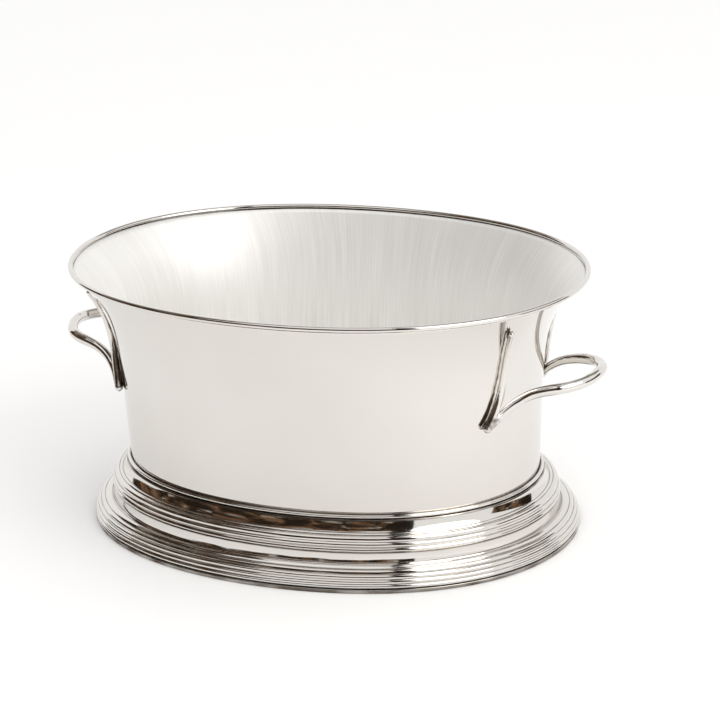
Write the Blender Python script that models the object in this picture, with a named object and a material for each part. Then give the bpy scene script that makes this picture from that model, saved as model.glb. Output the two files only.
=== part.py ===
"""Oval champagne bath: a flared sheet-metal bowl on a stepped, reeded base, with two bent rod handles.

Units are metres. The origin is on the floor under the middle of the foot, +X runs along the long axis
through the handles and +Z is up. Every oval piece is turned round Z as a circle of radius TURN and then
drawn out to its oval, so a profile is a list of (out, z): out is measured from the foot of the wall.
Touching pieces are CLEAR apart.
"""
import math

import bmesh
import bpy
import numpy as np
from mathutils import Vector

CLEAR = 0.0003                      # gap left between two pieces that touch in the real object
SEGMENTS = 52                       # steps round every oval
EXPONENT = 2.12                     # superellipse power of every oval, slightly fuller than an ellipse
TURN = 0.200                        # radius at which profiles are turned before they become ovals

# The bowl.
WALL_A, WALL_B = 0.1676, 0.1190     # semi-axes of the wall's outside at its foot
WALL_Z0, WALL_Z1 = 0.0473, 0.2060   # the wall's lower and upper edge
WALL_LEVELS = (0, 0.3, 0.52, 0.65, 0.74, 0.82, 0.89, 0.95, 1)
SHEET = 0.0012                      # sheet thickness
# How the wall runs out towards the lip, at the ends and along the sides of the oval: a steady lean, a
# flare, the fraction of the height at which the flare starts, and its power.
END_RUN = (0.0070, 0.0305, 0.45, 3.2)
SIDE_RUN = (0.0160, 0.0159, 0.30, 2.0)
FLOOR_Z = 0.0492                    # underside of the bowl's floor
FLOOR_LIP = 0.0042                  # height of the floor's upturned edge
SEAM = 0.0013                       # leg of the braze fillet above that edge

# The rolled rim.
ROLL_RADIUS = 0.0021
ROLL_SHEET = 0.0007
ROLL_MOUTH = 34.0                   # half angle, in degrees, of the gap that faces the wall's edge
CORE_RADIUS = ROLL_RADIUS - ROLL_SHEET - CLEAR

# The stepped base.
BASE_ACROSS = 1.12                  # the base steps out a little more on the long sides
FLANGE_Z = WALL_Z0 - CLEAR          # top of the upper tier, on which the wall stands
FLANGE_IN = -0.0110
BEAD_RADIUS = 0.0015
TIER_SPLIT_Z = 0.0256               # where the upper tier ends
REED_HEIGHT = 0.0009
# Each band's reeds from the top, by their share of its length.
UPPER_REEDS, LOWER_REEDS = (0.16, 0.34, 0.27, 0.23), (0.30, 0.20, 0.18, 0.17, 0.15)
FOOT_TOP_Z = 0.0029
FOOT_OUT, FOOT_IN = 0.0305, 0.0200
FOOT_EDGE = 0.0007                  # chamfer of the foot ring's outer edge

# The handles.
ROD = 0.0043                        # rod radius in the middle of the loop
LEG_LOW, LEG_TOP = 0.0032, 0.0021   # rod radius at the two ends of a leg
LEG_STAND = 0.0012                  # how far a leg's back is held off the wall by its braze
LEG_Z = (0.1115, 0.1900)            # low and high end of a leg
LEG_Y = (0.0620, 0.0639)            # its distance from the middle plane there
LEG_WAIST = 0.0105                  # how far the legs bow towards each other between
LOOP_KNOTS = ((0.1815, -0.0222, 0.1450), (0.1950, -0.0517, 0.1345), (0.2214, -0.0285, 0.1405),
              (0.2214, 0.0, 0.1420))
LOOP_STEPS, LEG_STEPS = 16, 6
BRAZE_HALF = (0.0022, 0.0014)       # half width of the braze strip at its low and high end

LOOKS = {                           # colour, roughness
    "polished": ((0.82, 0.80, 0.77, 1.0), 0.06),
    "satin": ((0.80, 0.78, 0.75, 1.0), 0.32),
    "solder": ((0.66, 0.64, 0.61, 1.0), 0.38),
    "core": ((0.55, 0.54, 0.52, 1.0), 0.45),
}
SMOOTH_BELOW = math.radians(35)     # edges sharper than this are shaded as edges


def clear_scene():
    for item in list(bpy.data.objects):
        bpy.data.objects.remove(item, do_unlink=True)


def metal(name, look):
    colour, roughness = LOOKS[look]
    material = bpy.data.materials.new(f"{name}_{look}")
    material.use_nodes = True
    shader = material.node_tree.nodes["Principled BSDF"]
    shader.inputs["Base Color"].default_value = colour
    shader.inputs["Metallic"].default_value = 1.0
    shader.inputs["Roughness"].default_value = roughness
    return material


def add_object(name, mesh, look, parent):
    item = bpy.data.objects.new(name, mesh)
    bpy.context.scene.collection.objects.link(item)
    if not mesh.materials:
        mesh.materials.append(metal(name, look))
    mesh.shade_smooth()
    mesh.set_sharp_from_angle(angle=SMOOTH_BELOW)
    item.parent = parent
    return item


# Ovals and their profiles.

def oval_point(a, b, angle):
    """The point of the superellipse with semi-axes a and b at a turning angle."""
    cos, sin = math.cos(angle), math.sin(angle)
    x = a * math.copysign(abs(cos) ** (2.0 / EXPONENT), cos)
    y = b * math.copysign(abs(sin) ** (2.0 / EXPONENT), sin)
    return x, y


def turned_oval(name, profile, axes, look, parent, closed=True):
    """Turn a profile of (out, z) round Z and draw the circle at each point out to the oval axes(out, z).

    An open profile starts and ends on the axis of turning. The object stands at its lowest level.
    """
    level = min(z for _, z in profile)
    work = bmesh.new()
    points = [work.verts.new((TURN + out, 0.0, z - level)) for out, z in profile]
    pairs = list(zip(points, points[1:]))
    if closed:
        pairs.append((points[-1], points[0]))
    edges = [work.edges.new(pair) for pair in pairs]
    bmesh.ops.spin(work, geom=points + edges, cent=(0, 0, 0), axis=(0, 0, 1),
                   angle=math.tau, steps=SEGMENTS, use_merge=True)
    bmesh.ops.remove_doubles(work, verts=work.verts, dist=1e-6)
    for vert in work.verts:
        a, b = axes(math.hypot(vert.co.x, vert.co.y) - TURN, level + vert.co.z)
        vert.co.x, vert.co.y = oval_point(a, b, math.atan2(vert.co.y, vert.co.x))
    bmesh.ops.recalc_face_normals(work, faces=work.faces)
    mesh = bpy.data.meshes.new(name)
    work.to_mesh(mesh)
    work.free()
    item = add_object(name, mesh, look, parent)
    item.location.z = level
    return item


def run_out(z, lean, flare, start, power):
    """How far the wall's outside has moved out from its foot at height z."""
    t = (z - WALL_Z0) / (WALL_Z1 - WALL_Z0)
    return lean * t + flare * max(0.0, (t - start) / (1.0 - start)) ** power


def wall_out(z):
    """The run-out at the ends of the oval, which is the out of the wall's outside."""
    return run_out(z, *END_RUN)


def bowl_axes(out, z):
    return WALL_A + out, WALL_B + out - wall_out(z) + run_out(z, *SIDE_RUN)


def base_axes(out, _z):
    return WALL_A + out, WALL_B + BASE_ACROSS * out


def arc(centre, radius_out, radius_z, start, stop, count):
    """Points (out, z) on an elliptical arc, with angles in degrees."""
    angles = np.radians(np.linspace(start, stop, count))
    return [(centre[0] + radius_out * math.cos(t), centre[1] + radius_z * math.sin(t)) for t in angles]


# The bowl.

def build_bowl(parent):
    heights = [WALL_Z0 + (WALL_Z1 - WALL_Z0) * t for t in WALL_LEVELS]
    outside = [(wall_out(z), z) for z in heights]
    inside = [(out - SHEET, z) for out, z in outside[::-1]]
    turned_oval("bucket_wall", outside + inside, bowl_axes, "polished", parent)

    # The dished floor shrinks towards its middle from an edge that follows the wall's inside.
    def floor_axes(out, z):
        a, b = bowl_axes(wall_out(z) - SHEET - CLEAR, z)
        share = 1.0 + out / TURN
        return a * share, b * share

    lip = FLOOR_Z + FLOOR_LIP
    underside = [(-TURN, FLOOR_Z), (-0.0036, FLOOR_Z), (-0.0010, FLOOR_Z + 0.0006), (0.0, FLOOR_Z + 0.0022)]
    edge = [(0.0, lip), (-0.0015, lip)]
    top = [(-0.0014, FLOOR_Z + 0.0028), (-0.0040, FLOOR_Z + SHEET), (-TURN, FLOOR_Z + SHEET)]
    turned_oval("bucket_floor", underside + edge + top, floor_axes, "satin", parent, closed=False)

    seam_z = lip + CLEAR
    seam = [(-SEAM, seam_z), (0.0, seam_z), (0.0, seam_z + SEAM), (-0.6 * SEAM, seam_z + 0.4 * SEAM)]
    turned_oval("floor_braze", seam, floor_axes, "solder", parent)


def build_rim(parent):
    """The lip is rolled over a core wire: an open curl whose mouth takes the wall's edge."""
    step = 0.0005
    run = wall_out(WALL_Z1) - wall_out(WALL_Z1 - step)
    along = Vector((run, step)).normalized()
    edge = Vector((wall_out(WALL_Z1) - SHEET / 2.0, WALL_Z1))
    centre = edge + (ROLL_RADIUS + 2.0 * CLEAR) * along
    mouth = math.degrees(math.atan2(-along.y, -along.x))

    def rim_axes(out, _z):
        return bowl_axes(out, WALL_Z1)

    start, stop = mouth + ROLL_MOUTH, mouth + 360.0 - ROLL_MOUTH
    inner = ROLL_RADIUS - ROLL_SHEET
    curl = arc(centre, ROLL_RADIUS, ROLL_RADIUS, start, stop, 7) + arc(centre, inner, inner, stop, start, 7)
    turned_oval("rim_roll", curl, rim_axes, "polished", parent)
    wire = arc(centre, CORE_RADIUS, CORE_RADIUS, 0, 300, 6)
    turned_oval("rim_core_wire", wire, rim_axes, "core", parent)


# The base.

def reeds(path, shares, steps=3):
    """A run of half-round ribs standing off a smooth path of (out, z) points."""
    path = np.array(path)
    lengths = np.concatenate([[0.0], np.cumsum(np.linalg.norm(np.diff(path, axis=0), axis=1))])

    def at(length):
        return np.array([np.interp(length, lengths, path[:, axis]) for axis in (0, 1)])

    near = 0.01 * lengths[-1]
    found = [tuple(path[0])]
    start = 0.0
    for share in shares:
        for step in range(1, steps + 1):
            along = lengths[-1] * min(1.0, start + share * step / steps)
            tangent = at(along + near) - at(along - near)
            outward = np.array([-tangent[1], tangent[0]]) / np.linalg.norm(tangent)
            swell = REED_HEIGHT * math.sin(math.pi * step / steps)
            found.append(tuple(at(along) + swell * outward))
        start += share
    return found


def build_base(parent):
    bead = arc((BEAD_RADIUS + CLEAR, WALL_Z0 + BEAD_RADIUS), BEAD_RADIUS, BEAD_RADIUS, 0, 300, 6)
    turned_oval("collar_bead", bead, base_axes, "polished", parent)

    # Upper tier: flange under the wall, a shallow hollow moulding, then a band of reeds.
    hollow = arc((0.0248, 0.0506), 0.0213, 0.0213, 192, 215, 5)
    path = [(0.0074, 0.0382), (0.0116, 0.0368), (0.0142, 0.0326), (0.0150, TIER_SPLIT_Z)]
    band = reeds(path, UPPER_REEDS)
    outside = [(FLANGE_IN, FLANGE_Z), (0.0034, FLANGE_Z)] + hollow + band
    inside = [(0.0138, TIER_SPLIT_Z), (0.0130, 0.0320), (0.0108, 0.0355), (0.0060, 0.0371),
              (0.0044, 0.0412), (0.0027, 0.0456), (FLANGE_IN, FLANGE_Z - SHEET)]
    turned_oval("base_upper", outside + inside, base_axes, "polished", parent)

    # Lower tier: flange under the upper one, a smooth upright neck, then a swelling band of reeds.
    top = TIER_SPLIT_Z - CLEAR
    neck = [(0.0150, 0.0230), (0.0153, 0.0205), (0.0158, 0.0182)]
    band = reeds(arc((0.0158, 0.0032), 0.0140, 0.0148, 88, 2, 14), LOWER_REEDS)
    outside = [(0.0060, top), (0.0149, top)] + neck + band
    inside = [(0.0286, FOOT_TOP_Z + CLEAR), (0.0265, 0.0104), (0.0226, 0.0142), (0.0164, 0.0163),
              (0.0144, 0.0180), (0.0136, top - SHEET), (0.0060, top - SHEET)]
    turned_oval("base_lower", outside + inside, base_axes, "polished", parent)

    # The flat ring that stiffens the foot and stands on the table.
    foot = [(FOOT_IN, 0.0), (FOOT_OUT - FOOT_EDGE, 0.0), (FOOT_OUT, FOOT_EDGE),
            (FOOT_OUT, FOOT_TOP_Z - FOOT_EDGE), (FOOT_OUT - FOOT_EDGE, FOOT_TOP_Z), (FOOT_IN, FOOT_TOP_Z)]
    turned_oval("foot_ring", foot, base_axes, "polished", parent)


# The handles, made at the +X end.

def wall_x(y, z):
    """How far along +X the wall's outside lies at (y, z)."""
    a, b = bowl_axes(wall_out(z), z)
    return a * (1.0 - abs(y / b) ** EXPONENT) ** (1.0 / EXPONENT)


def wall_point(y, z, off):
    """A point off the wall's outside near its +X end, with the wall's normal there."""
    step = 0.001
    slope_y = (wall_x(y + step, z) - wall_x(y - step, z)) / (2.0 * step)
    slope_z = (wall_x(y, z + step) - wall_x(y, z - step)) / (2.0 * step)
    normal = Vector((1.0, -slope_y, -slope_z)).normalized()
    return Vector((wall_x(y, z), y, z)) + off * normal, normal


def leg_line(t):
    """(y, z) of the front leg at t, from 0 at its low end to 1 at its high end."""
    y = LEG_Y[0] + (LEG_Y[1] - LEG_Y[0]) * t - 4.0 * LEG_WAIST * t * (1.0 - t)
    return -y, LEG_Z[0] + (LEG_Z[1] - LEG_Z[0]) * t


def leg_path():
    """The front leg's centre line, lying along the wall, with the rod's radius at each point."""
    steps = [k / LEG_STEPS for k in range(LEG_STEPS + 1)]
    radii = [LEG_LOW + (LEG_TOP - LEG_LOW) * t for t in steps]
    path = [wall_point(*leg_line(t), LEG_STAND + CLEAR + radius)[0] for t, radius in zip(steps, radii)]
    return path, radii


def bezier(knots, t):
    """The point at t on the Bezier curve through any number of control points."""
    while len(knots) > 1:
        knots = [first.lerp(second, t) for first, second in zip(knots, knots[1:])]
    return knots[0]


def loop_path():
    """The grip's centre line, from the front leg's low end out to the tip and back to the other leg's."""
    knots = [leg_path()[0][0]] + [Vector(knot) for knot in LOOP_KNOTS]
    half = [bezier(knots, k / LOOP_STEPS) for k in range(LOOP_STEPS + 1)]
    whole = half + [Vector((p.x, -p.y, p.z)) for p in half[-2::-1]]
    span = len(whole) - 1
    radii = [LEG_LOW + (ROD - LEG_LOW) * min(1.0, 4.0 * min(k, span - k) / span) for k in range(span + 1)]
    return whole, radii


def rod_mesh(name, path, radii):
    """A round rod along a path, drawn in at both ends: a bevelled curve turned into a mesh."""
    first = path[0] + 0.75 * radii[0] * (path[0] - path[1]).normalized()
    last = path[-1] + 0.75 * radii[-1] * (path[-1] - path[-2]).normalized()
    points = [first] + path + [last]
    widths = [0.45 * radii[0]] + radii + [0.45 * radii[-1]]
    curve = bpy.data.curves.new(name, "CURVE")
    curve.dimensions = "3D"
    curve.bevel_depth = 1.0
    curve.bevel_resolution = 2
    curve.use_fill_caps = True
    spline = curve.splines.new("POLY")
    spline.points.add(len(points) - 1)
    for knot, point, width in zip(spline.points, points, widths):
        knot.co = (*point, 1.0)
        knot.radius = width
    guide = bpy.data.objects.new(f"{name}_guide", curve)
    mesh = bpy.data.meshes.new_from_object(guide)
    bpy.data.objects.remove(guide, do_unlink=True)
    return mesh


def build_handle(parent):
    """The loop with its two legs united to it. The handles at the two ends share one mesh."""
    loop = add_object("handle_right", rod_mesh("loop", *loop_path()), "polished", parent)
    path, radii = leg_path()
    for hand in (1.0, -1.0):
        mirrored = [Vector((p.x, hand * p.y, p.z)) for p in path]
        leg = bpy.data.objects.new("leg_guide", rod_mesh("leg", mirrored, radii))
        bpy.context.scene.collection.objects.link(leg)
        leg.hide_render = True
        leg.display_type = "WIRE"
        union = loop.modifiers.new("join_leg", "BOOLEAN")
        union.operation = "UNION"
        union.solver = "EXACT"
        union.object = leg
    graph = bpy.context.evaluated_depsgraph_get()
    loop.data = bpy.data.meshes.new_from_object(loop.evaluated_get(graph))
    for union in list(loop.modifiers):
        bpy.data.objects.remove(union.object, do_unlink=True)
    loop.modifiers.clear()
    other = add_object("handle_left", loop.data, "polished", parent)
    other.rotation_euler.z = math.pi


def braze_mesh(name, hand):
    """The middle surface of a strip draped along one leg's line on the wall."""
    work = bmesh.new()
    bmesh.ops.create_grid(work, x_segments=2, y_segments=2 * LEG_STEPS, size=1.0)
    for vert in work.verts:
        share = 0.5 + 0.48 * vert.co.y
        half = BRAZE_HALF[0] + (BRAZE_HALF[1] - BRAZE_HALF[0]) * share
        middle, normal = wall_point(*leg_line(share), 0.5 * (CLEAR + LEG_STAND))
        sideways = normal.cross(Vector((0, 0, 1))).normalized()
        place = middle + half * vert.co.x * sideways
        vert.co = (place.x, hand * place.y, place.z)
    mesh = bpy.data.meshes.new(name)
    work.to_mesh(mesh)
    work.free()
    return mesh


def build_braze(parent):
    """The strips of braze metal between the four legs and the wall."""
    names = {1.0: ("braze_right_front", "braze_left_back"), -1.0: ("braze_right_back", "braze_left_front")}
    for hand, (at_right, at_left) in names.items():
        mesh = braze_mesh(at_right, hand)
        for name, turn in ((at_right, 0.0), (at_left, math.pi)):
            item = add_object(name, mesh, "solder", parent)
            item.rotation_euler.z = turn
            shell = item.modifiers.new("thickness", "SOLIDIFY")
            shell.thickness = LEG_STAND - CLEAR
            shell.offset = 0.0


def main():
    clear_scene()
    bucket = bpy.data.objects.new("champagne_bucket", None)
    bpy.context.scene.collection.objects.link(bucket)
    build_bowl(bucket)
    build_rim(bucket)
    build_base(bucket)
    build_handle(bucket)
    build_braze(bucket)


main()
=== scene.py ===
"""The look of the oval champagne bath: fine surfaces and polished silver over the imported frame.

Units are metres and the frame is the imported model's: +X through the right handle, +Z up. A ring's profile is
a list of (out, z) points, with out measured from the foot of the wall, as in the part's own source.
"""
import math

import bpy
import numpy as np
from mathutils import Matrix, Vector, noise


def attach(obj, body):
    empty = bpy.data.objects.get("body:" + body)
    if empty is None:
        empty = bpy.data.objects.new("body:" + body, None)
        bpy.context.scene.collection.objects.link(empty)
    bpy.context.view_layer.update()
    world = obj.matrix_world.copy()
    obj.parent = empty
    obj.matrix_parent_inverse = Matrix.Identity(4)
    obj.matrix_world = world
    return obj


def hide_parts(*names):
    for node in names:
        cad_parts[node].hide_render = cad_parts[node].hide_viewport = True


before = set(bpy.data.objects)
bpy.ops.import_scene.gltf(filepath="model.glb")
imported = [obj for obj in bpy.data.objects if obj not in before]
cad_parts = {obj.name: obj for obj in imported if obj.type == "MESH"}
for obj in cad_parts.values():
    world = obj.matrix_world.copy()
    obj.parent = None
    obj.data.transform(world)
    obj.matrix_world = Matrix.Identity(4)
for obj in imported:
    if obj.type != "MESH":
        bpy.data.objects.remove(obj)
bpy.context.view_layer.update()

BODY = "root"

# The ovals: SEGMENTS steps round, and a little fuller than an ellipse between the axes.
SEGMENTS = 480
FULLNESS = 0.0198

# The bowl, with the part's dimensions. A run is the wall's lean, its flare, where the flare starts as a share
# of the height, and the flare's power. CLEAR is the gap that neighbouring pieces keep.
WALL_A, WALL_B = 0.1676, 0.1190
WALL_Z0, WALL_Z1 = 0.0473, 0.2060
WALL_LEVELS = 56
SHEET = 0.0012
END_RUN = (0.0070, 0.0305, 0.45, 3.2)
SIDE_RUN = (0.0160, 0.0159, 0.30, 2.0)
CLEAR = 0.0003

# The floor. FLOOR_REACH is the share of the way to the middle at which its ring closes.
FLOOR_Z, FLOOR_LIP, SEAM = 0.0492, 0.0042, 0.0013
FLOOR_BEND, FLOOR_BEND_INSIDE, BEND_POINTS = 0.0034, 0.0022, 8
FLOOR_EDGE, FLOOR_STEPS, FLOOR_REACH = 0.0055, 12, 0.9995
SEAM_POINTS = 7

# The rim.
ROLL_RADIUS, ROLL_SHEET, ROLL_MOUTH = 0.0021, 0.0007, 34.0
CURL_POINTS, CURL_POINTS_INSIDE = 30, 16

# The base.
BASE_ACROSS = 1.12
FLANGE_Z, FLANGE_IN = WALL_Z0 - CLEAR, -0.0110
BEAD_RADIUS, BEAD_POINTS = 0.0015, 24
TIER_SPLIT_Z = 0.0256
HOLLOW_CENTRE, HOLLOW_RADIUS, HOLLOW_POINTS = (0.0248, 0.0506), 0.0213, 22
BAND_CENTRE, BAND_OUT, BAND_HEIGHT = (0.0158, 0.0032), 0.0140, 0.0148
BAND_POINTS, NECK_POINTS = 40, 14
UPPER_REEDS, LOWER_REEDS = (0.16, 0.34, 0.27, 0.23), (0.30, 0.20, 0.18, 0.17, 0.15)
REED_HEIGHT, REED_STEPS = 0.0009, 14
FOOT_TOP_Z, FOOT_OUT, FOOT_IN, FOOT_EDGE = 0.0029, 0.0305, 0.0200, 0.0007
EDGE_POINTS = 7

# The handles.
ROD, LEG_LOW, LEG_TOP, LEG_STAND = 0.0043, 0.0032, 0.0021, 0.0002
LEG_Z, LEG_Y, LEG_WAIST = (0.1115, 0.1900), (0.0620, 0.0639), 0.0105
LOOP_KNOTS = ((0.1815, -0.0222, 0.1450), (0.1950, -0.0517, 0.1345), (0.2214, -0.0285, 0.1405),
              (0.2214, 0.0, 0.1420))
LOOP_STEPS, LEG_STEPS, ROD_SIDES = 90, 70, 20
VOXEL = 0.0005

# The solder along the legs. SOLDER_GAP keeps its back off the wall.
SOLDER_STEPS, SOLDER_POINTS = 90, 9
SOLDER_SPREAD, SOLDER_FLOW_LENGTH, SOLDER_GAP = 0.0007, 0.0045, 0.00005

# The hand finish: how far a surface wanders, and over what distance. WAVE_RISE makes it change faster with
# height than along a ring. ROD_WAVE is a share of the rod's radius.
WAVE, WAVE_LENGTH, WAVE_RISE = 0.00012, 0.045, 1.6
BASE_WANDER = (0.00022, 0.019)
ROD_WAVE, ROD_WAVE_LENGTH = 0.05, 0.009

# Painted shade, laid dark into crevices and grooves where shade falls: the share left inside the base, and how
# fast it clears on a reed. On a handle, where it is partly real tarnish, it lies within a set gap of the wall,
# fades over a set length, and gathers round the crook of the V. The lengths say over what distance it comes
# and goes.
HIDDEN_SHADE, REED_SHADE_CLEARING = 0.6, 3.5
RING_SHADE_LENGTH, ROD_SHADE_LENGTH, CROOK_SHADE_LENGTH = 0.012, 0.006, 0.003
SHADE_GAP, SHADE_FADE = 0.0012, 0.0022
CROOK_OFFSET, CROOK_REACH = (0.001, 0.004, 0.004), 0.008

# The camera.
CAMERA_TARGET = (0.0, 0.0, 0.1308)
CAMERA_AZIMUTH, CAMERA_ELEVATION, CAMERA_ROLL = 23.61, 19.455, -2.257
CAMERA_DISTANCE = 2.105
CAMERA_LENS, SENSOR = 133.9, 36.0
CAMERA_SHIFT = (0.0425, -0.004)

# The studio. Its panels are grids of CARD_STEPS squares a side.
CARD_DISTANCE, CARD_STEPS = 4.0, 16
LAMP_OFFSET, LAMP_ELEVATION, LAMP_DISTANCE = 38.0, 44.0, 1.9
STUDIO_REACH, FLOOR_DROP = 12.0, 0.0002

# The metal.
SILVER = (0.735, 0.71, 0.68, 1.0)
SILVER_WARM = (0.71, 0.682, 0.645, 1.0)
# The dark brown of the painted shade laid into crevices, grooves and the foot's edge; on the handles partly
# real tarnish.
SHADE_TARNISH_COLOUR = (0.085, 0.062, 0.040, 1.0)

# Each direction of polishing: how it is turned, and how finely it is drawn along each axis.
SCRATCH_RUNS = (((0.3, 0.5, 0.2), (40.0, 1400.0, 1400.0)),
                ((0.9, -0.4, 1.1), (1200.0, 30.0, 1200.0)),
                ((-0.5, 1.2, 0.6), (1000.0, 1000.0, 35.0)))


# Shapes.

def run_out(z, lean, flare, start, power):
    """How far the wall's outside has moved out from its foot at height z."""
    t = (z - WALL_Z0) / (WALL_Z1 - WALL_Z0)
    return lean * t + flare * max(0.0, (t - start) / (1.0 - start)) ** power


def wall_out(z):
    """The run-out at the ends of the oval, which is the out of the wall's outside."""
    return run_out(z, *END_RUN)


def fuller(turn):
    """How much further out than an ellipse the ovals lie at a turn from their +X end."""
    return 1.0 + FULLNESS * np.sin(2.0 * turn) ** 2


def bowl_axes(out, z):
    """The oval's half-length and half-width at (out, z) on the bowl. Its sides run out in their own way."""
    return WALL_A + out, WALL_B + out - wall_out(z) + run_out(z, *SIDE_RUN)


def base_axes(out, _z):
    """The same on the base, which stands out a little more at its sides than at its ends."""
    return WALL_A + out, WALL_B + BASE_ACROSS * out


def arc(centre, radius_out, radius_z, start, stop, count):
    """Points (out, z) on an elliptical arc, with angles in degrees."""
    angles = np.radians(np.linspace(start, stop, count))
    return [(centre[0] + radius_out * math.cos(t), centre[1] + radius_z * math.sin(t)) for t in angles]


def wave(point, length=WAVE_LENGTH):
    """Smooth noise from -1 to 1 that changes over about one length."""
    return noise.noise(Vector(point) / length)


def add_object(name, mesh, *materials):
    """A smooth-shaded object in the scene."""
    for material in materials:
        mesh.materials.append(material)
    mesh.shade_smooth()
    item = bpy.data.objects.new(name, mesh)
    bpy.context.scene.collection.objects.link(item)
    return item


def stand_for(item, slot, *nodes):
    """The piece rides on the body and is shown in place of the CAD nodes."""
    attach(item, BODY)
    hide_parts(*nodes)


def ring(name, profile, axes, materials, shade_mask=None, wander=(WAVE, WAVE_LENGTH), inside_from=None):
    """A closed ring. The mask after the materials gives each profile point its painted shade, dark where shade
    falls, wander how far the metal strays and over what length, and faces from inside_from on take the
    second material."""
    turn = np.arange(SEGMENTS) * math.tau / SEGMENTS
    unit = np.column_stack([np.cos(turn) * fuller(turn), np.sin(turn) * fuller(turn)])
    count = len(profile)
    points, shade_amount = [], []
    for row, (out, z) in enumerate(profile):
        a, b = axes(out, z)
        for x, y in unit:
            move = wander[0] * wave((x * WALL_A, y * WALL_B, WAVE_RISE * z), wander[1])
            points.append(((a + move) * x, (b + move) * y, z))
            # Painted shade, made a little patchy round the ring.
            stain_and_shade = 0.75 + 0.5 * wave((x * WALL_A, y * WALL_B, z), RING_SHADE_LENGTH)
            shade_amount.append((shade_mask[row] if shade_mask else 0.0) * stain_and_shade)
    faces, slots, uvs = [], [], []
    for row in range(count):
        after = (row + 1) % count
        for step in range(SEGMENTS):
            side = (step + 1) % SEGMENTS
            faces.append((row * SEGMENTS + step, row * SEGMENTS + side,
                          after * SEGMENTS + side, after * SEGMENTS + step))
            slots.append(1 if inside_from is not None and row >= inside_from else 0)
            u0, u1 = step / SEGMENTS, (step + 1) / SEGMENTS
            v0, v1 = profile[row][1], profile[after][1]
            uvs += [(u0, v0), (u1, v0), (u1, v1), (u0, v1)]
    mesh = bpy.data.meshes.new(name)
    mesh.from_pydata(points, [], faces)
    mesh.polygons.foreach_set("material_index", slots)
    mesh.uv_layers.new(name="round").data.foreach_set("uv", np.array(uvs, np.float32).ravel())
    mesh.attributes.new("shade_and_tarnish", "FLOAT", "POINT").data.foreach_set("value", np.array(shade_amount, np.float32))
    item = add_object(name, mesh, *materials)
    if inside_from is None:
        mesh.set_sharp_from_angle(angle=math.radians(40))
    face_outward(mesh)
    return item


def face_outward(mesh):
    """Turn every face outward by the sign of the body's volume."""
    mesh.calc_loop_triangles()
    points = np.zeros(len(mesh.vertices) * 3)
    mesh.vertices.foreach_get("co", points)
    points = points.reshape(-1, 3)
    corners = np.zeros(len(mesh.loop_triangles) * 3, np.int32)
    mesh.loop_triangles.foreach_get("vertices", corners)
    a, b, c = (points[corners.reshape(-1, 3)[:, k]] for k in range(3))
    if np.einsum("ij,ij->i", a, np.cross(b, c)).sum() < 0.0:
        mesh.flip_normals()


# Materials.

class Nodes:
    """A short way to write a Principled material's nodes."""

    def __init__(self, name, metallic=1.0):
        self.material = bpy.data.materials.new(name)
        self.material.use_nodes = True
        self.tree = self.material.node_tree
        self.shader = self.tree.nodes["Principled BSDF"]
        self.shader.inputs["Metallic"].default_value = metallic

    def add(self, kind, values=None, **settings):
        node = self.tree.nodes.new(kind)
        for key, value in settings.items():
            setattr(node, key, value)
        for key, value in (values or {}).items():
            self.put(node.inputs[key], value)
        return node

    def put(self, socket, value):
        if isinstance(value, bpy.types.NodeSocket):
            self.tree.links.new(value, socket)
        else:
            socket.default_value = value

    def math(self, operation, first, second, clamp=False):
        node = self.add("ShaderNodeMath", {0: first, 1: second}, operation=operation, use_clamp=clamp)
        return node.outputs[0]

    def noise(self, coordinates, scale, detail=3.0, roughness=0.5):
        return self.add("ShaderNodeTexNoise", {"Vector": coordinates, "Scale": scale, "Detail": detail,
                                               "Roughness": roughness}).outputs["Fac"]

    def stretched(self, coordinates, scale, turn=(0.0, 0.0, 0.0)):
        return self.add("ShaderNodeMapping", {"Vector": coordinates, "Scale": scale,
                                              "Rotation": turn}).outputs["Vector"]

    def spread(self, value, low, high, to_low=0.0, to_high=1.0):
        return self.add("ShaderNodeMapRange", {"Value": value, "From Min": low, "From Max": high,
                                               "To Min": to_low, "To Max": to_high}).outputs["Result"]

    def mix(self, factor, first, second):
        """A mix of two colours, whose sockets share their names with the node's other kinds of mix."""
        node = self.add("ShaderNodeMix", data_type="RGBA")
        self.put(node.inputs[0], factor)
        self.put(node.inputs[6], first)
        self.put(node.inputs[7], second)
        return node.outputs[2]

    def bump(self, height, strength, distance):
        return self.add("ShaderNodeBump", {"Height": height, "Strength": strength,
                                           "Distance": distance}).outputs["Normal"]


def scratches(nodes, place):
    """Fine hand-polishing scratches in three directions, from 0 to 1."""
    lines = []
    for turn, scale in SCRATCH_RUNS:
        fine = nodes.noise(nodes.stretched(place, scale, turn), scale=1.0, detail=2.0)
        lines.append(nodes.spread(fine, 0.66, 0.74))
    total = lines[0]
    for line in lines[1:]:
        total = nodes.math("ADD", total, line, clamp=True)
    return total


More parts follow.
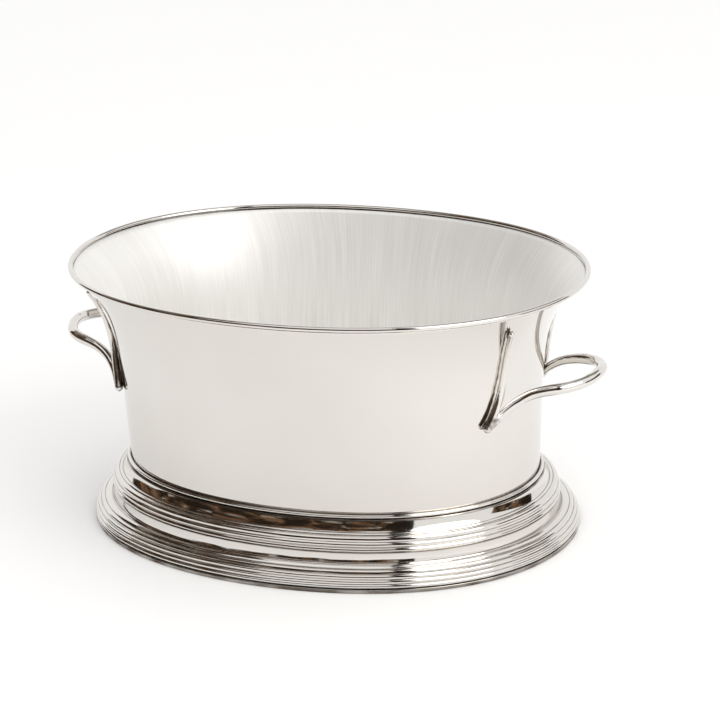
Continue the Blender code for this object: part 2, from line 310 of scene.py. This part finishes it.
def polished(name, rough=0.045):
    """Polished silver with a light haze, fine scratches and the painted shade, partly real tarnish on the
    handles, that its mesh carries.
    """
    nodes = Nodes(name)
    place = nodes.add("ShaderNodeTexCoord").outputs["Object"]
    cloud = nodes.noise(place, scale=9.0, detail=4.0)
    haze = nodes.noise(place, scale=38.0, detail=5.0, roughness=0.6)
    lines = scratches(nodes, place)
    shade_amount = nodes.add("ShaderNodeAttribute", attribute_name="shade_and_tarnish").outputs["Fac"]
    shade_amount = nodes.math("MULTIPLY", shade_amount, 1.0, clamp=True)
    metal = nodes.mix(nodes.spread(cloud, 0.35, 0.65), SILVER, SILVER_WARM)
    # The mesh's mask lays painted shade in dark brown into crevices, grooves and the foot's edge.
    metal = nodes.mix(shade_amount, metal, SHADE_TARNISH_COLOUR)
    nodes.put(nodes.shader.inputs["Base Color"], metal)
    roughness = nodes.spread(haze, 0.3, 0.75, rough, rough + 0.035)
    roughness = nodes.math("ADD", roughness, nodes.math("MULTIPLY", lines, 0.05))
    roughness = nodes.math("ADD", roughness, nodes.math("MULTIPLY", shade_amount, 0.25))
    nodes.put(nodes.shader.inputs["Roughness"], roughness)
    height = nodes.math("ADD", nodes.math("MULTIPLY", haze, 0.5), lines)
    nodes.put(nodes.shader.inputs["Normal"], nodes.bump(height, strength=0.012, distance=0.0002))
    return nodes.material


def satin(name, across, along, rough):
    """Brushed metal whose grain is stretched by the two scales of the ring's own coordinates."""
    nodes = Nodes(name, metallic=0.45)
    place = nodes.add("ShaderNodeTexCoord").outputs["UV"]
    grain = nodes.noise(nodes.stretched(place, (across, along, 1.0)), scale=1.0, detail=4.0, roughness=0.6)
    broad = nodes.noise(nodes.stretched(place, (0.06 * across, 0.4 * along, 1.0)), scale=1.0, detail=3.0)
    metal = nodes.mix(nodes.spread(grain, 0.3, 0.7), (0.80, 0.785, 0.76, 1.0), (0.93, 0.92, 0.90, 1.0))
    metal = nodes.mix(nodes.spread(broad, 0.35, 0.7, 0.0, 0.3), metal, (0.74, 0.72, 0.69, 1.0))
    nodes.put(nodes.shader.inputs["Base Color"], metal)
    nodes.put(nodes.shader.inputs["Roughness"], nodes.spread(grain, 0.3, 0.7, rough, rough + 0.14))
    nodes.put(nodes.shader.inputs["Normal"], nodes.bump(grain, strength=0.12, distance=0.0004))
    return nodes.material


def cast(name, colour, dark, rough):
    """Metal that has flowed or been drawn, with small pits."""
    nodes = Nodes(name)
    place = nodes.add("ShaderNodeTexCoord").outputs["Object"]
    lumps = nodes.noise(place, scale=420.0, detail=5.0, roughness=0.6)
    stain_and_shade = nodes.noise(place, scale=90.0, detail=3.0)
    nodes.put(nodes.shader.inputs["Base Color"], nodes.mix(nodes.spread(stain_and_shade, 0.35, 0.65), colour, dark))
    nodes.put(nodes.shader.inputs["Roughness"], nodes.spread(lumps, 0.3, 0.7, rough, rough + 0.18))
    nodes.put(nodes.shader.inputs["Normal"], nodes.bump(lumps, strength=0.3, distance=0.0004))
    return nodes.material


# The bowl, the rim and the base.

def build_bowl(outside, inside, solder):
    """The wall, its floor and the seam between them."""
    heights = [WALL_Z0 + (WALL_Z1 - WALL_Z0) * k / WALL_LEVELS for k in range(WALL_LEVELS + 1)]
    outer = [(wall_out(z), z) for z in heights]
    inner = [(out - SHEET, z) for out, z in outer[::-1]]
    wall = ring("wall", outer + inner, bowl_axes, (outside, inside), inside_from=WALL_LEVELS)
    stand_for(wall, "polished_silver", "bucket_wall")

    # The floor, dished at its edge, is a ring whose smallest turn all but closes.
    def floor_axes(out, z):
        a, b = bowl_axes(wall_out(z) - SHEET - CLEAR, z)
        share = 1.0 + out / WALL_A
        return a * share, b * share

    lip = FLOOR_Z + FLOOR_LIP
    middle = -FLOOR_REACH * WALL_A
    spokes = [middle * (1.0 - k / FLOOR_STEPS) - FLOOR_EDGE * k / FLOOR_STEPS for k in range(FLOOR_STEPS + 1)]
    under = [(out, FLOOR_Z) for out in spokes]
    centre = (-FLOOR_BEND, FLOOR_Z + FLOOR_BEND)
    bend = arc(centre, FLOOR_BEND, FLOOR_BEND, -80, 0, BEND_POINTS) + [(0.0, lip)]
    over = [(-SHEET, lip)] + arc(centre, FLOOR_BEND_INSIDE, FLOOR_BEND_INSIDE, 0, -80, BEND_POINTS)
    top = [(out, FLOOR_Z + SHEET) for out in spokes[::-1]]
    plate = ring("floor_plate", under + bend + over + top, floor_axes, (inside,), wander=(0.0, WAVE_LENGTH))
    stand_for(plate, "satin_silver", "bucket_floor")

    start = lip + CLEAR
    hollow = arc((-SEAM, start + SEAM), SEAM, SEAM, -4, -86, SEAM_POINTS)
    seam = ring("floor_seam", [(-SEAM, start), (0.0, start), (0.0, start + SEAM)] + hollow,
                floor_axes, (solder,), wander=(0.0, WAVE_LENGTH))
    stand_for(seam, "braze_metal", "floor_braze")


def build_rim(metal):
    """The curled lip, whose mouth is turned to the wall's edge."""
    step = 0.0005
    run = wall_out(WALL_Z1) - wall_out(WALL_Z1 - step)
    along = Vector((run, step)).normalized()
    edge = Vector((wall_out(WALL_Z1) - SHEET / 2.0, WALL_Z1))
    centre = edge + (ROLL_RADIUS + 2.0 * CLEAR) * along
    mouth = math.degrees(math.atan2(-along.y, -along.x))

    def rim_axes(out, _z):
        return bowl_axes(out, WALL_Z1)

    start, stop = mouth + ROLL_MOUTH, mouth + 360.0 - ROLL_MOUTH
    inner = ROLL_RADIUS - ROLL_SHEET
    curl = arc(centre, ROLL_RADIUS, ROLL_RADIUS, start, stop, CURL_POINTS)
    curl += arc(centre, inner, inner, stop, start, CURL_POINTS_INSIDE)
    # Painted shade: a dark line where the curl's mouth meets the wall, and half shade inside the curl.
    mouth_shade = [1.0] * 5 + [0.5]
    shade_mask = mouth_shade + [0.0] * (CURL_POINTS - len(mouth_shade)) + [0.5] * CURL_POINTS_INSIDE
    lip = ring("lip", curl, rim_axes, (metal,), shade_mask)
    stand_for(lip, "polished_silver", "rim_roll")


def reeds(path, shares):
    """A run of half-round ribs standing off a smooth path, and each point's painted shade: 1 in a groove,
    where shade falls.
    """
    path = np.array(path)
    lengths = np.concatenate([[0.0], np.cumsum(np.linalg.norm(np.diff(path, axis=0), axis=1))])

    def at(length):
        return np.array([np.interp(length, lengths, path[:, axis]) for axis in (0, 1)])

    near = 0.01 * lengths[-1]
    found, shade_mask = [tuple(path[0])], [1.0]
    start = 0.0
    for share in shares:
        for step in range(1, REED_STEPS + 1):
            along = lengths[-1] * min(1.0, start + share * step / REED_STEPS)
            tangent = at(along + near) - at(along - near)
            outward = np.array([-tangent[1], tangent[0]]) / np.linalg.norm(tangent)
            swell = math.sin(math.pi * step / REED_STEPS)
            found.append(tuple(at(along) + REED_HEIGHT * swell * outward))
            shade_mask.append(max(0.0, 1.0 - REED_SHADE_CLEARING * swell))
        start += share
    return found, shade_mask


def smooth_path(points, count):
    """Points along a Catmull-Rom curve through the given ones."""
    knots = [Vector(p) for p in points]
    knots = [2 * knots[0] - knots[1]] + knots + [2 * knots[-1] - knots[-2]]
    spans = len(knots) - 3
    found = []
    for k in range(count):
        place = k * spans / (count - 1)
        span = min(int(place), spans - 1)
        t = place - span
        a, b, c, d = knots[span:span + 4]
        found.append(tuple(0.5 * (2 * b + (c - a) * t + (2 * a - 5 * b + 4 * c - d) * t ** 2
                                  + (3 * b - a - 3 * c + d) * t ** 3)))
    return found


def fading(step, count):
    """Painted shade that clears by one step a point."""
    return [max(0.0, 0.8 - step * k) for k in range(count)]


def build_base(metal):
    """The bead under the wall, the two tiers and the foot."""
    bead = arc((BEAD_RADIUS + CLEAR, WALL_Z0 + BEAD_RADIUS), BEAD_RADIUS, BEAD_RADIUS, 0, 345, BEAD_POINTS)
    # Painted shade on the half of the bead that faces the wall, darkest at the joint.
    shade_mask = [max(0.0, -math.cos(math.tau * k / BEAD_POINTS)) for k in range(BEAD_POINTS)]
    collar = ring("collar", bead, base_axes, (metal,), shade_mask)
    stand_for(collar, "polished_silver", "collar_bead")

    hollow = arc(HOLLOW_CENTRE, HOLLOW_RADIUS, HOLLOW_RADIUS, 192, 215, HOLLOW_POINTS)
    path = smooth_path([(0.0074, 0.0382), (0.0116, 0.0368), (0.0142, 0.0326), (0.0150, TIER_SPLIT_Z)],
                       BAND_POINTS)
    band, groove_shade = reeds(path, UPPER_REEDS)
    outside = [(FLANGE_IN, FLANGE_Z), (0.0034, FLANGE_Z)] + hollow + band
    inside = [(0.0138, TIER_SPLIT_Z), (0.0130, 0.0320), (0.0108, 0.0355), (0.0060, 0.0371),
              (0.0044, 0.0412), (0.0027, 0.0456), (FLANGE_IN, FLANGE_Z - SHEET)]
    # Painted shade: full under the bead, fading down the hollow, in the reeds' grooves, and partly on the
    # hidden inside.
    shade_mask = [1.0, 1.0] + fading(0.4, HOLLOW_POINTS) + groove_shade + [HIDDEN_SHADE] * len(inside)
    tier = ring("tier_upper", outside + inside, base_axes, (metal,), shade_mask, BASE_WANDER)
    stand_for(tier, "polished_silver", "base_upper")

    top = TIER_SPLIT_Z - CLEAR
    neck = smooth_path([(0.0149, top), (0.0150, 0.0230), (0.0153, 0.0205), (0.0158, 0.0182)], NECK_POINTS)
    band, groove_shade = reeds(arc(BAND_CENTRE, BAND_OUT, BAND_HEIGHT, 88, 2, BAND_POINTS), LOWER_REEDS)
    outside = [(0.0060, top)] + neck + band
    inside = [(0.0286, FOOT_TOP_Z + CLEAR), (0.0265, 0.0104), (0.0226, 0.0142), (0.0164, 0.0163),
              (0.0144, 0.0180), (0.0136, top - SHEET), (0.0060, top - SHEET)]
    # Painted shade: full under the upper tier, fading down the neck, in the grooves, and partly on the hidden
    # inside.
    shade_mask = [1.0] + fading(0.5, NECK_POINTS) + groove_shade + [HIDDEN_SHADE] * len(inside)
    tier = ring("tier_lower", outside + inside, base_axes, (metal,), shade_mask, BASE_WANDER)
    stand_for(tier, "polished_silver", "base_lower")

    edge = FOOT_OUT - FOOT_EDGE
    below = [(FOOT_IN, 0.0)] + arc((edge, FOOT_EDGE), FOOT_EDGE, FOOT_EDGE, -90, 0, EDGE_POINTS)
    above = arc((edge, FOOT_TOP_Z - FOOT_EDGE), FOOT_EDGE, FOOT_EDGE, 0, 90, EDGE_POINTS)
    foot = below + above + [(FOOT_IN, FOOT_TOP_Z)]
    # Painted reflection of the shaded floor by the foot: dark over its lower edge, lighter up its upper edge,
    # dark again on top.
    shade_mask = [1.0] * len(below) + [0.9] * 3 + [0.2] * 3 + [1.0, 1.0]
    stand = ring("foot", foot, base_axes, (metal,), shade_mask)
    stand_for(stand, "polished_silver", "foot_ring")


# The handles.

def wall_x(y, z):
    """How far along +X the wall's outside lies at (y, z)."""
    a, b = bowl_axes(wall_out(z), z)
    turn = math.asin(min(1.0, abs(y) / b))
    for _ in range(4):  # Each pass brings the turn closer to the fuller oval's.
        turn = math.asin(min(1.0, abs(y) / (b * fuller(turn))))
    return a * math.cos(turn) * fuller(turn)


def wall_point(y, z, off):
    """A point off the wall's outside near its +X end, with the wall's normal there."""
    step = 0.001
    slope_y = (wall_x(y + step, z) - wall_x(y - step, z)) / (2.0 * step)
    slope_z = (wall_x(y, z + step) - wall_x(y, z - step)) / (2.0 * step)
    normal = Vector((1.0, -slope_y, -slope_z)).normalized()
    return Vector((wall_x(y, z), y, z)) + off * normal, normal


def leg_line(t):
    """(y, z) of the front leg at t, from 0 at its low end to 1 at its high end."""
    y = LEG_Y[0] + (LEG_Y[1] - LEG_Y[0]) * t - 4.0 * LEG_WAIST * t * (1.0 - t)
    return -y, LEG_Z[0] + (LEG_Z[1] - LEG_Z[0]) * t


def leg_radius(t):
    """The leg's radius, which thins quickly at first and then slowly."""
    return LEG_LOW + (LEG_TOP - LEG_LOW) * math.sqrt(t)


def bezier(knots, t):
    """The point at t on the curve that the knots steer."""
    while len(knots) > 1:
        knots = [first.lerp(second, t) for first, second in zip(knots, knots[1:])]
    return knots[0]


def rod_points(path, radii):
    """The points and faces of a round rod with domed ends, a little uneven as bent by hand."""
    path = [Vector(p) for p in path]
    first, last = (path[0] - path[1]).normalized(), (path[-1] - path[-2]).normalized()
    dome = [(0.98, 0.25), (0.75, 0.60), (0.40, 0.88), (0.20, 0.97)]
    rows = [(path[0] + reach * radii[0] * first, shrink * radii[0]) for reach, shrink in dome]
    rows += list(zip(path, radii))
    rows += [(path[-1] + reach * radii[-1] * last, shrink * radii[-1]) for reach, shrink in dome[::-1]]
    points, faces = [], []
    across = Vector((0.0, 0.0, 1.0))
    for row, (centre, radius) in enumerate(rows):
        ahead = rows[min(row + 1, len(rows) - 1)][0] - rows[max(row - 1, 0)][0]
        tangent = ahead.normalized()
        across = (across - tangent * across.dot(tangent)).normalized()
        other = tangent.cross(across)
        for side in range(ROD_SIDES):
            turn = math.tau * side / ROD_SIDES
            out = math.cos(turn) * across + math.sin(turn) * other
            uneven = 1.0 + ROD_WAVE * wave(centre + radius * out, ROD_WAVE_LENGTH)
            points.append(centre + radius * uneven * out)
    for row in range(len(rows) - 1):
        low, high = row * ROD_SIDES, (row + 1) * ROD_SIDES
        for side in range(ROD_SIDES):
            after = (side + 1) % ROD_SIDES
            faces.append((low + side, low + after, high + after, high + side))
    end = (len(rows) - 1) * ROD_SIDES
    faces.append(tuple(range(ROD_SIDES))[::-1])
    faces.append(tuple(end + side for side in range(ROD_SIDES)))
    return points, faces


def mirrored(points):
    """The points with front and back changed over."""
    return [Vector((p.x, -p.y, p.z)) for p in points]


def grip_mesh():
    """The loop and its two legs, melted into one skin by a voxel remesh and smoothed."""
    steps = [k / LEG_STEPS for k in range(LEG_STEPS + 1)]
    radii = [leg_radius(t) for t in steps]
    leg = [wall_point(*leg_line(t), LEG_STAND + CLEAR + leg_radius(t))[0] for t in steps]
    knots = [leg[0]] + [Vector(knot) for knot in LOOP_KNOTS]
    half = [bezier(knots, k / LOOP_STEPS) for k in range(LOOP_STEPS + 1)]
    loop = half + mirrored(half[-2::-1])
    span = len(loop) - 1
    # The rod grows from the leg's width to its own over the first and last quarters of the loop.
    swell = [LEG_LOW + (ROD - LEG_LOW) * min(1.0, 4.0 * min(k, span - k) / span) for k in range(span + 1)]
    points, faces = [], []
    for path, widths in ((loop, swell), (leg, radii), (mirrored(leg), radii)):
        more, shapes = rod_points(path, widths)
        faces += [tuple(len(points) + k for k in shape) for shape in shapes]
        points += more
    mesh = bpy.data.meshes.new("grip_rods")
    mesh.from_pydata(points, [], faces)
    rods = bpy.data.objects.new("grip_rods", mesh)
    bpy.context.scene.collection.objects.link(rods)
    melt = rods.modifiers.new("melt", "REMESH")
    melt.mode, melt.voxel_size = "VOXEL", VOXEL
    ease = rods.modifiers.new("ease", "SMOOTH")
    ease.factor, ease.iterations = 0.5, 8
    graph = bpy.context.evaluated_depsgraph_get()
    skin = bpy.data.meshes.new_from_object(rods.evaluated_get(graph))
    bpy.data.objects.remove(rods, do_unlink=True)
    return skin


def shade_near_wall(mesh):
    """Darkening where the rod turns in to the wall and in the crook of the V: painted shade, partly real
    tarnish where polishing never reaches.
    """
    crook = wall_point(*leg_line(0.0), LEG_STAND + CLEAR + LEG_LOW)[0] + Vector(CROOK_OFFSET)
    shade_amount = []
    for vert in mesh.vertices:
        height = min(vert.co.z, WALL_Z1)
        gap = vert.co.x - wall_x(vert.co.y, height)
        stain_and_shade = 1.0 - (gap - SHADE_GAP) / SHADE_FADE + 0.5 * wave(vert.co, ROD_SHADE_LENGTH)
        away = (Vector((vert.co.x, -abs(vert.co.y), vert.co.z)) - crook).length
        stain_and_shade = max(stain_and_shade, 1.1 - away / CROOK_REACH + 0.5 * wave(vert.co, CROOK_SHADE_LENGTH))
        shade_amount.append(min(1.0, max(0.0, stain_and_shade)))
    mesh.attributes.new("shade_and_tarnish", "FLOAT", "POINT").data.foreach_set("value", np.array(shade_amount, np.float32))


def solder_mesh(name, hand):
    """The fillet between a leg and the wall, with the wavy edge of metal that has flowed."""
    points, faces = [], []
    for k in range(SOLDER_STEPS + 1):
        t = k / SOLDER_STEPS
        y, z = leg_line(t)
        flow = wave((40.0 * hand, 0.0, z), SOLDER_FLOW_LENGTH)  # Far apart, so the two sides differ.
        half = leg_radius(t) * 1.05 + SOLDER_SPREAD * (1.0 + 0.9 * flow)
        if t > 0.9:  # The solder has spread a little at the leg's high end.
            half *= 1.0 + 1.5 * (t - 0.9)
        peak = LEG_STAND + 0.9 * leg_radius(t)
        end = min(1.0, 12.0 * t, 12.0 * (1.0 - t))  # It thins away over a twelfth at either end.
        for row in range(SOLDER_POINTS):
            side = 2.0 * row / (SOLDER_POINTS - 1) - 1.0
            lift = 2.0 * SOLDER_GAP + end * peak * (1.0 - abs(side)) ** 1.6
            middle, normal = wall_point(y, z, 0.0)
            sideways = normal.cross(Vector((0, 0, 1))).normalized()
            place = wall_point((middle + half * side * sideways).y, z, lift)[0]
            points.append((place.x, hand * place.y, place.z))
        base = wall_point(y, z, SOLDER_GAP)[0]
        points.append((base.x, hand * base.y, base.z))
    row_length = SOLDER_POINTS + 1
    for k in range(SOLDER_STEPS):
        low, high = k * row_length, (k + 1) * row_length
        for row in range(row_length):
            after = (row + 1) % row_length
            faces.append((low + row, low + after, high + after, high + row))
    faces.append(tuple(range(row_length))[::-1])
    faces.append(tuple(SOLDER_STEPS * row_length + row for row in range(row_length)))
    mesh = bpy.data.meshes.new(name)
    mesh.from_pydata(points, [], faces)
    return mesh


def build_handles(metal, solder):
    """Both handles and their seams. The left end is the right end turned half round."""
    skin = grip_mesh()
    shade_near_wall(skin)
    for end, turn in (("right", 0.0), ("left", math.pi)):
        mesh = skin.copy()
        mesh.transform(Matrix.Rotation(turn, 4, "Z"))
        grip = add_object(f"grip_{end}", mesh, metal)
        stand_for(grip, "polished_silver", f"handle_{end}")
        for place in ("front", "back"):
            # hand keeps the front leg's side of the wall, or mirrors it.
            hand = 1.0 if (place == "front") == (end == "right") else -1.0
            mesh = solder_mesh(f"solder_{end}_{place}", hand)
            mesh.transform(Matrix.Rotation(turn, 4, "Z"))
            face_outward(mesh)
            fillet = add_object(f"solder_{end}_{place}", mesh, solder)
            stand_for(fillet, "braze_metal", f"braze_{end}_{place}")


# The studio.

def heading(offset, elevation, distance):
    """A point at an angle to the right of the camera as seen from the object, and at an elevation."""
    turn = math.radians(CAMERA_AZIMUTH - 90.0 + offset)
    up = math.radians(elevation)
    return (distance * math.cos(up) * math.cos(turn), distance * math.cos(up) * math.sin(turn),
            distance * math.sin(up))


def card(name, offsets, elevations, colour, marks=None):
    """Part of the studio that only shows in the metal: a curved panel between two offsets and elevations."""
    points, faces = [], []
    for row in range(CARD_STEPS + 1):
        for column in range(CARD_STEPS + 1):
            offset = offsets[0] + (offsets[1] - offsets[0]) * column / CARD_STEPS
            elevation = elevations[0] + (elevations[1] - elevations[0]) * row / CARD_STEPS
            points.append(heading(offset, elevation, CARD_DISTANCE))
    for row in range(CARD_STEPS):
        for column in range(CARD_STEPS):
            first = row * (CARD_STEPS + 1) + column
            faces.append((first, first + 1, first + CARD_STEPS + 2, first + CARD_STEPS + 1))
    mesh = bpy.data.meshes.new(name)
    mesh.from_pydata(points, [], faces)
    nodes = Nodes(name, metallic=0.0)
    nodes.shader.inputs["Base Color"].default_value = (0.0, 0.0, 0.0, 1.0)
    nodes.shader.inputs["Specular IOR Level"].default_value = 0.0
    glow = nodes.shader.inputs["Emission Color"]
    nodes.shader.inputs["Emission Strength"].default_value = 1.0
    if marks:
        place = nodes.add("ShaderNodeTexCoord").outputs["Object"]
        columns = nodes.noise(nodes.stretched(place, (1.0, 1.0, 0.12)), scale=2.3, detail=4.0, roughness=0.7)
        patches = nodes.noise(nodes.stretched(place, (1.0, 1.0, 0.5)), scale=1.7, detail=3.0, roughness=0.6)
        tone = nodes.mix(nodes.spread(columns, 0.46, 0.62), colour, marks[0])
        nodes.put(glow, nodes.mix(nodes.spread(patches, 0.60, 0.66), tone, marks[1]))
    else:
        glow.default_value = colour
    panel = add_object(name, mesh, nodes.material)
    panel.visible_camera = False
    panel.visible_diffuse = False
    panel.visible_shadow = False
    panel.visible_transmission = False


def build_studio():
    """White light all round with dark stretches of room in it, one soft lamp and a pale floor."""
    scene = bpy.context.scene
    world = bpy.data.worlds.new("studio")
    world.use_nodes = True
    world.node_tree.nodes["Background"].inputs["Color"].default_value = (1.0, 1.0, 1.0, 1.0)
    world.node_tree.nodes["Background"].inputs["Strength"].default_value = 1.04
    scene.world = world
    scene.view_settings.view_transform = "Standard"

    dark, brown, grey = (0.022, 0.016, 0.011, 1.0), (0.20, 0.115, 0.065, 1.0), (0.42, 0.39, 0.34, 1.0)
    card("room_low", (-78, 2), (0, 46), dark, (brown, grey))
    card("room_left", (-128, -78), (0, 66), dark, (brown, grey))
    card("camera_column", (2, 11), (0, 84), dark)
    card("flag_right", (66, 110), (0, 20), dark, (brown, grey))
    card("ceiling_back", (120, 240), (38, 72), (0.30, 0.28, 0.25, 1.0))

    lamp = bpy.data.lights.new("softbox", "AREA")
    lamp.shape, lamp.size, lamp.size_y = "ELLIPSE", 1.3, 1.2
    lamp.energy = 11.5
    lamp.color = (1.0, 0.985, 0.96)
    softbox = bpy.data.objects.new("softbox", lamp)
    softbox.location = heading(LAMP_OFFSET, LAMP_ELEVATION, LAMP_DISTANCE)
    softbox.rotation_euler = Vector(softbox.location).to_track_quat("Z", "Y").to_euler()
    softbox.visible_camera = False
    scene.collection.objects.link(softbox)

    floor = bpy.data.meshes.new("studio_floor")
    corners = [(x * STUDIO_REACH, y * STUDIO_REACH, 0.0) for x, y in ((-1, -1), (1, -1), (1, 1), (-1, 1))]
    floor.from_pydata(corners, [], [(0, 1, 2, 3)])
    nodes = Nodes("studio_floor", metallic=0.0)
    nodes.shader.inputs["Base Color"].default_value = (0.93, 0.925, 0.918, 1.0)
    nodes.shader.inputs["Roughness"].default_value = 0.6
    nodes.shader.inputs["Specular IOR Level"].default_value = 0.1
    ground = add_object("studio_floor", floor, nodes.material)
    ground.location.z = -FLOOR_DROP


def build_camera():
    """The camera, turned about its target by azimuth and elevation and then rolled."""
    azimuth, elevation = math.radians(CAMERA_AZIMUTH), math.radians(CAMERA_ELEVATION)
    back = Vector((math.cos(elevation) * math.sin(azimuth), -math.cos(elevation) * math.cos(azimuth),
                   math.sin(elevation)))
    right = Vector((0, 0, 1)).cross(back).normalized()
    turned = Matrix((right, back.cross(right), back)).transposed()
    data = bpy.data.cameras.new("camera")
    data.lens, data.sensor_width = CAMERA_LENS, SENSOR
    data.shift_x, data.shift_y = CAMERA_SHIFT
    data.clip_end = 60.0
    camera = bpy.data.objects.new("camera", data)
    roll = Matrix.Rotation(math.radians(CAMERA_ROLL), 3, "Z")
    camera.matrix_world = Matrix.Translation(Vector(CAMERA_TARGET) + CAMERA_DISTANCE * back) @ (
        turned @ roll).to_4x4()
    bpy.context.scene.collection.objects.link(camera)
    bpy.context.scene.camera = camera


# The model.

silver = polished("polished_silver")
handle_silver = polished("handle_silver", rough=0.07)
brushed = satin("brushed_silver", across=900.0, along=14.0, rough=0.42)
solder_metal = cast("solder_metal", (0.76, 0.73, 0.68, 1.0), (0.52, 0.47, 0.40, 1.0), 0.12)
wire_metal = cast("wire_metal", (0.55, 0.54, 0.52, 1.0), (0.42, 0.40, 0.37, 1.0), 0.35)

build_camera()
build_bowl(silver, brushed, solder_metal)
build_rim(silver)
build_base(silver)
build_handles(handle_silver, solder_metal)
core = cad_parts["rim_core_wire"]
core.data.materials.clear()
core.data.materials.append(wire_metal)
build_studio()
